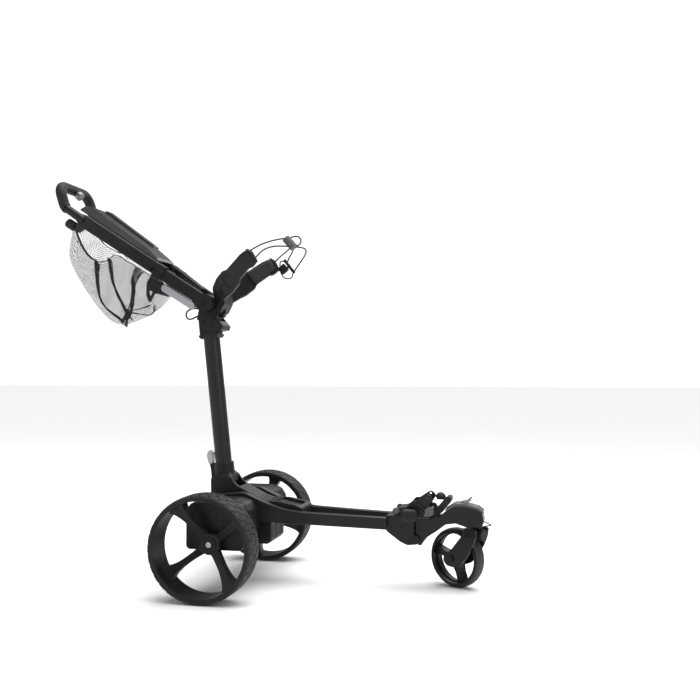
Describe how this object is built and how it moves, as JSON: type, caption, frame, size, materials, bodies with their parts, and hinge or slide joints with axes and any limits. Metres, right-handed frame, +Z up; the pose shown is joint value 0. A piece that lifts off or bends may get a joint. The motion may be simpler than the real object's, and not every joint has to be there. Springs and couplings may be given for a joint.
{
  "type": "electric golf push cart",
  "caption": "Fold-up three-wheel electric golf push cart: twin-rail chassis, leaning mast, loop handle with console, net pocket, bag brackets and swivel front wheel.",
  "frame": {"origin": "middle of the bottom of the bounding box, on the ground under the cart", "axes": "+X forward towards the swivel wheel, +Y to the cart's left, +Z up"},
  "size_m": [1.2719, 0.609, 1.1608],
  "materials": {
    "frame_black": "satin black coat",
    "mast_black": "satin dark grey anodised look",
    "shell_black": "fine-grained black moulding",
    "shell_grey": "smooth mid-grey moulding",
    "lever_grey": "smooth light grey moulding",
    "silver": "bead-blasted silver",
    "pin_black": "blackened steel pins and screws",
    "tyre_black": "matt ribbed rubber",
    "tyre_grey": "smooth dark grey rubber",
    "grip_rubber": "soft matt grip",
    "pad_rubber": "matt rubber pad",
    "net_mesh": "open knitted mesh",
    "elastic": "braided elastic cord"
  },
  "bodies": {
    "chassis": {"side_rails": "frame_black", "mast_base": "shell_black", "base_nose": "shell_black", "battery_case": "shell_black", "drive_cases": "shell_black", "drive_covers": "shell_black", "chassis_pins": "pin_black", "chassis_screws": "pin_black", "knuckle": "frame_black", "cradle_arms": "frame_black", "cradle_pads": "grip_rubber", "cradle_fittings": "shell_grey"},
    "wheel_left": {"tyre_l": "tyre_black", "rim_l": "shell_black", "hub_bolt_l": "silver"},
    "wheel_right": {"tyre_r": "tyre_black", "rim_r": "shell_black", "hub_bolt_r": "silver"},
    "front_leg": {"front_arm": "frame_black", "head_cover": "shell_grey", "foot_plate": "shell_black", "strap_knob": "grip_rubber"},
    "head_lever": {"head_lever": "lever_grey"},
    "fork": {"fork": "frame_black", "fork_axle": "pin_black"},
    "lock_knob": {"lock_knob": "grip_rubber"},
    "wheel_front": {"tyre_front": "tyre_grey", "rim_front": "shell_black"},
    "mast": {"mast_collar": "shell_black", "mast_tube": "mast_black", "head_collar": "shell_black", "mast_screws": "pin_black", "hinge_block": "shell_black", "mast_pins": "pin_black", "bag_arms": "shell_black", "arm_pads": "pad_rubber", "hook_clip": "shell_black", "cord_toggle": "shell_grey", "bungee_upper": "elastic", "bungee_lower": "elastic", "bungee_crown": "elastic", "bungee_left": "elastic", "bungee_mid": "elastic", "bungee_outer": "elastic", "hinge_cable": "elastic"},
    "release_lever": {"release_lever": "silver"},
    "cam_lever": {"cam_lever": "shell_black"},
    "handle": {"handle_rails": "frame_black", "handle_beams": "frame_black", "handle_loop": "frame_black", "handle_grip": "grip_rubber", "console_tray": "shell_black", "console_cover": "shell_grey", "console_buttons": "grip_rubber", "stowage_pad": "grip_rubber", "buckle_plate": "shell_black", "net_bag": "net_mesh"},
    "speed_dial": {"speed_dial": "lever_grey"},
    "accessory_knob": {"accessory_knob_r": "shell_black"},
    "lock_lever": {"lock_lever": "lever_grey"}
  },
  "joints": [
    {"name": "left_wheel_spin", "type": "hinge", "parent": "chassis", "child": "wheel_left", "pos_m": [-0.0869, 0.265, 0.14], "axis": [0, 1, 0], "continuous": true},
    {"name": "right_wheel_spin", "type": "hinge", "parent": "chassis", "child": "wheel_right", "pos_m": [-0.0869, -0.265, 0.14], "axis": [0, 1, 0], "continuous": true},
    {"name": "front_fold", "type": "hinge", "parent": "chassis", "child": "front_leg", "pos_m": [0.4301, 0, 0.137], "axis": [0, 1, 0], "range_deg": [0, 112]},
    {"name": "head_lever_turn", "type": "hinge", "parent": "front_leg", "child": "head_lever", "pos_m": [0.5631, 0, 0.238], "axis": [0, 0, 1], "range_deg": [0, 90]},
    {"name": "caster_swivel", "type": "hinge", "parent": "front_leg", "child": "fork", "pos_m": [0.5951, 0, 0.18], "axis": [0, 0, 1], "continuous": true},
    {"name": "lock_knob_turn", "type": "hinge", "parent": "fork", "child": "lock_knob", "pos_m": [0.61155, -0.0095, 0.152], "axis": [0.866, -0.5, 0], "range_deg": [-180, 180]},
    {"name": "front_wheel_spin", "type": "hinge", "parent": "fork", "child": "wheel_front", "pos_m": [0.5401, 0.03175, 0.0815], "axis": [0.5, 0.866, 0], "continuous": true},
    {"name": "mast_fold", "type": "hinge", "parent": "chassis", "child": "mast", "pos_m": [-0.1229, 0, 0.284], "axis": [0, 1, 0], "range_deg": [0, 70]},
    {"name": "release_lever_pull", "type": "hinge", "parent": "mast", "child": "release_lever", "pos_m": [-0.16701, 0, 0.32432], "axis": [0, -1, 0], "range_deg": [0, 25], "stiffness_Nm_per_rad": 0.4},
    {"name": "cam_lever_lift", "type": "hinge", "parent": "mast", "child": "cam_lever", "pos_m": [-0.1549, 0, 0.748], "axis": [0, -1, 0], "range_deg": [0, 28]},
    {"name": "handle_tilt", "type": "hinge", "parent": "mast", "child": "handle", "pos_m": [-0.1719, 0, 0.793], "axis": [0, 1, 0], "range_deg": [-60, 20]},
    {"name": "speed_dial_turn", "type": "hinge", "parent": "handle", "child": "speed_dial", "pos_m": [-0.604, 0, 1.13084], "axis": [0.7711, 0, -0.6367], "range_deg": [-150, 150]},
    {"name": "accessory_knob_turn", "type": "hinge", "parent": "handle", "child": "accessory_knob", "pos_m": [-0.58065, -0.075, 1.0263], "axis": [-0.8415, 0, 0.5402], "range_deg": [-180, 180]},
    {"name": "lock_lever_swing", "type": "hinge", "parent": "handle", "child": "lock_lever", "pos_m": [-0.20948, -0.059, 0.78444], "axis": [0, -1, 0], "range_deg": [0, 40]}
  ]
}
